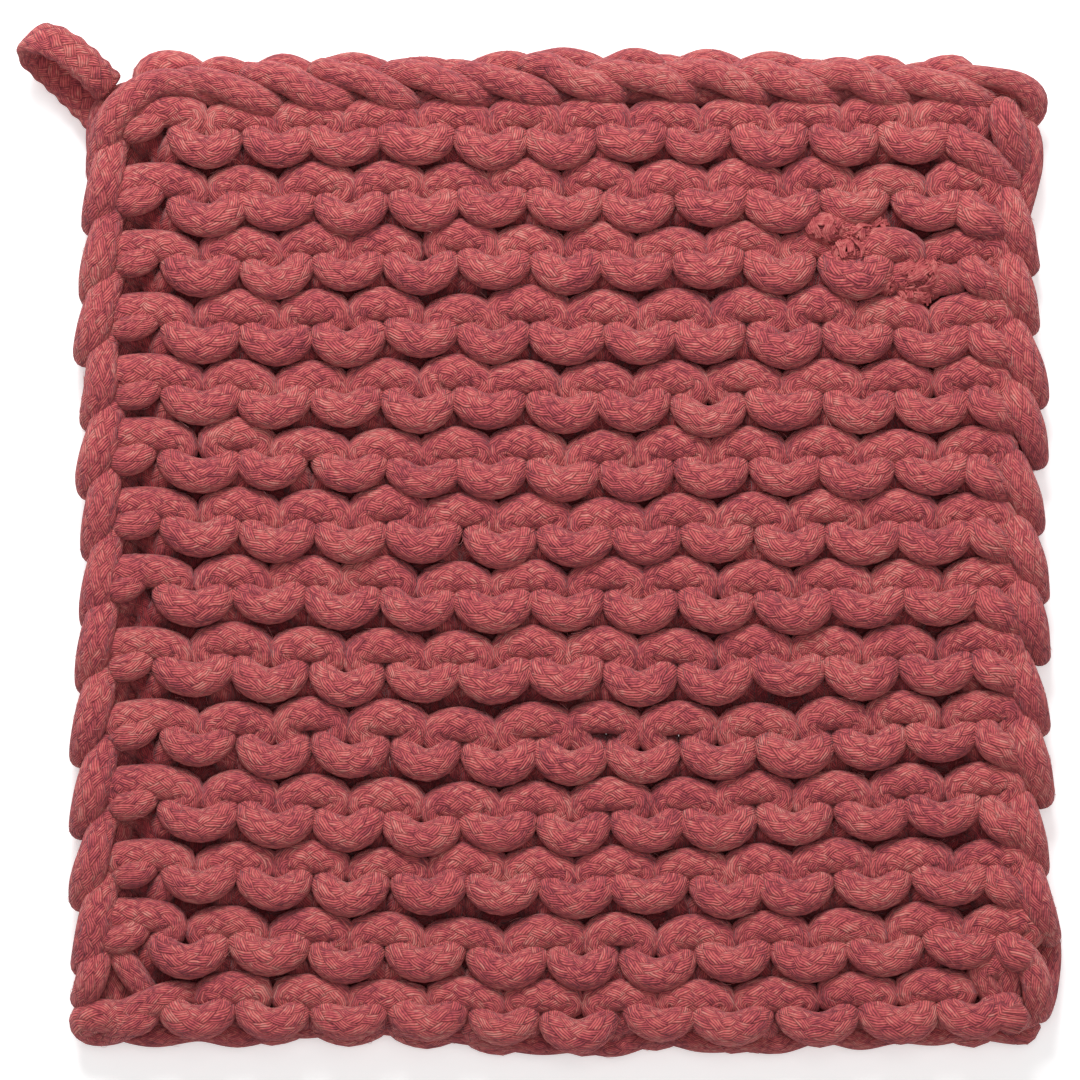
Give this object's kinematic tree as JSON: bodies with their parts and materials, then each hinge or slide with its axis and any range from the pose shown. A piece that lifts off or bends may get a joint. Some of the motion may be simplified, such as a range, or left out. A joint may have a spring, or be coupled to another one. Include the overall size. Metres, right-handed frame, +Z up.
{
  "type": "pot holder",
  "caption": "Square pot holder hand-knitted in garter stitch from thick cotton yarn, with a short hanging loop at one corner.",
  "frame": {"origin": "on the underside, within 2 mm of the middle of the knitted square, in the plane that it rests on", "axes": "+X to the right and +Y towards the bound-off edge as the face is seen with the loop at the top left, +Z up out of the face"},
  "size_m": [0.2088, 0.207, 0.0148],
  "materials": {
    "cotton_yarn": "soft matt cotton yarn of many thin strands, heathered dusty rose, orange-pink and wine red, with a light fuzz",
    "loop_yarn": "the same heathered cotton yarn as one flat strand, a little brighter where it lies in the open light"
  },
  "bodies": {
    "root": {"knitted_square": "cotton_yarn", "hanging_loop": "loop_yarn"}
  },
  "joints": []
}
